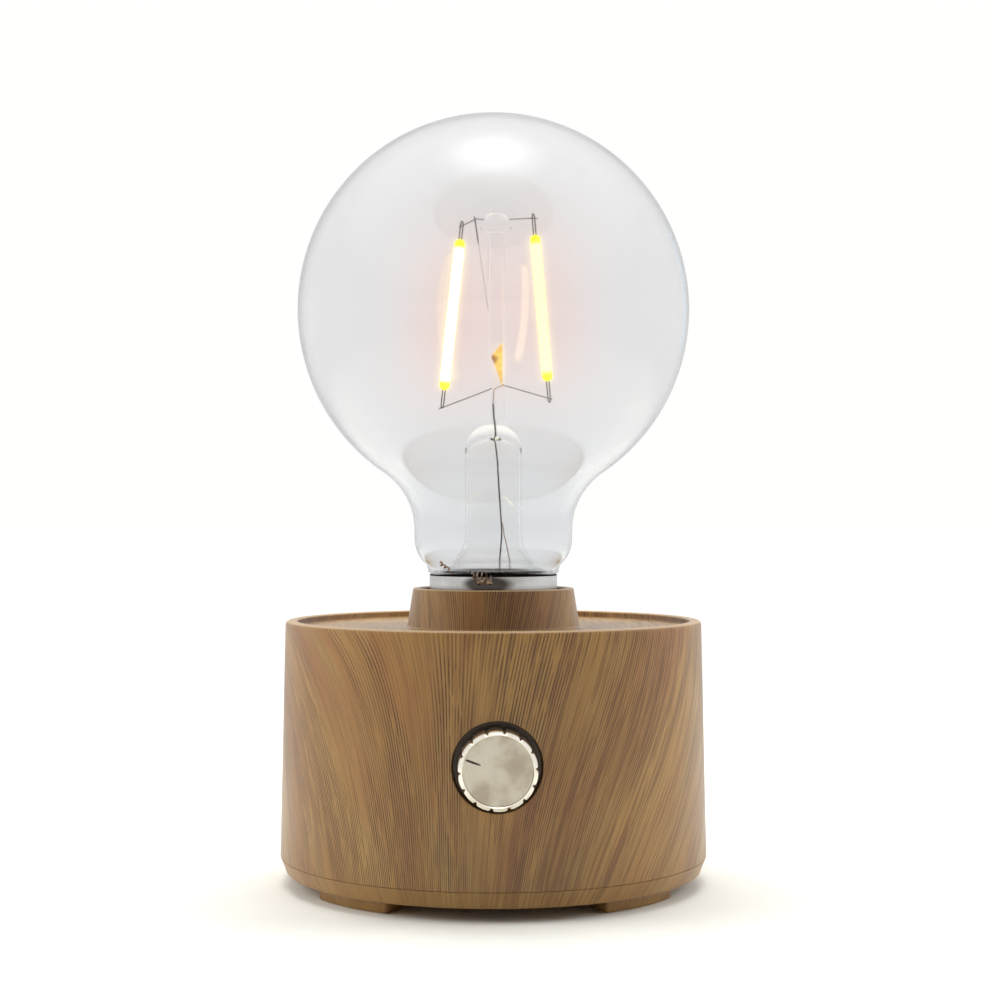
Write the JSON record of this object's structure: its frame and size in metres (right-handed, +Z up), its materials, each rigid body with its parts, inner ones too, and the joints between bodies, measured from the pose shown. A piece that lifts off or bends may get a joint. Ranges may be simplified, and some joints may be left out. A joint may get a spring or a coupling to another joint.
{
  "type": "table lamp",
  "caption": "Small cordless table lamp: a wood-look drum with a rotary dimmer on its front and a battery door below, carrying a bare clear globe bulb in a collar.",
  "frame": {"origin": "on the lamp's vertical axis, in the plane of the undersides of its feet", "axes": "+Z up along the drum's and bulb's axis, -Y towards the dimmer knob on the front, +X to the right as seen from the front"},
  "size_m": [0.087, 0.0922, 0.1564],
  "materials": {
    "wood_film": "moulded plastic under a printed wood-grain film, satin",
    "screw_steel": "zinc-plated steel",
    "dark_plastic": "matt moulded plastic",
    "white_plastic": "heat-resistant moulded plastic",
    "cell_sleeve": "plain shrink sleeve",
    "contact_metal": "nickel-plated spring steel",
    "brass": "pressed brass",
    "knob_metal": "turned aluminium with a spun face and a bright bevel",
    "board_green": "solder-masked circuit board",
    "copper_winding": "enamelled copper winding on a ferrite core",
    "wire_red": "soft wire insulation",
    "wire_black": "soft wire insulation",
    "bulb_glass": "clear blown glass",
    "filament": "phosphor-coated rod, lit",
    "lead_wire": "nickel-iron support wire",
    "cap_metal": "nickel-plated pressed brass",
    "cement": "baked basing cement",
    "solder": "tin solder"
  },
  "bodies": {
    "base": {"feet": "wood_film", "base_plate": "wood_film", "base_screws": "screw_steel", "housing": "wood_film", "battery_tray": "dark_plastic", "tray_screws": "screw_steel", "battery_cells": "cell_sleeve", "battery_springs": "contact_metal", "battery_contacts": "contact_metal", "dimmer_body": "dark_plastic", "dimmer_bushing": "brass", "dimmer_washer": "screw_steel", "dimmer_nut": "screw_steel", "dimmer_pins": "contact_metal", "circuit_board": "board_green", "board_inductor": "copper_winding", "board_capacitors": "dark_plastic", "board_chips": "dark_plastic", "board_terminals": "contact_metal", "supply_wire_red": "wire_red", "supply_wire_black": "wire_black", "lamp_wire_red": "wire_red", "lamp_wire_black": "wire_black", "holder_cup": "white_plastic", "holder_screw_shell": "brass", "holder_centre_contact": "brass", "holder_terminals": "brass", "holder_screws": "screw_steel"},
    "bulb_tip": {"bulb_tip_contact": "solder"},
    "bulb": {"bulb_globe": "bulb_glass", "bulb_stem": "bulb_glass", "stem_post": "bulb_glass", "filament_left": "filament", "filament_right": "filament", "filament_tabs": "contact_metal", "top_cross_wire": "lead_wire", "jumper_wire": "lead_wire", "lower_wires": "lead_wire", "lead_in_wires": "lead_wire", "bulb_cap": "cap_metal", "cap_cement": "cement", "cap_solder": "solder", "cap_insulator": "dark_plastic", "bulb_driver": "board_green"},
    "knob": {"knob": "knob_metal", "knob_face": "knob_metal", "knob_pointer": "dark_plastic", "knob_sleeve": "brass", "dimmer_shaft": "screw_steel", "dimmer_wiper": "white_plastic"},
    "door": {"battery_door": "wood_film"}
  },
  "joints": [
    {"name": "bulb_rise", "type": "slide", "parent": "base", "child": "bulb_tip", "axis": [0, 0, 1], "range_m": [0, 0.01815]},
    {"name": "bulb_turn", "type": "hinge", "parent": "bulb_tip", "child": "bulb", "pos_m": [0, 0, 0.06], "axis": [0, 0, 1], "range_deg": [0, 1800]},
    {"name": "dimmer_turn", "type": "hinge", "parent": "base", "child": "knob", "pos_m": [0, -0.045, 0.0285], "axis": [0, 1, 0], "range_deg": [-80, 220]},
    {"name": "door_swing", "type": "hinge", "parent": "base", "child": "door", "pos_m": [0, 0.0266, 0.0035], "axis": [1, 0, 0], "range_deg": [0, 90]}
  ],
  "couplings": [
    {"joint": "bulb_rise", "follows": "bulb_turn", "m_per_rad": 0.00057757}
  ]
}
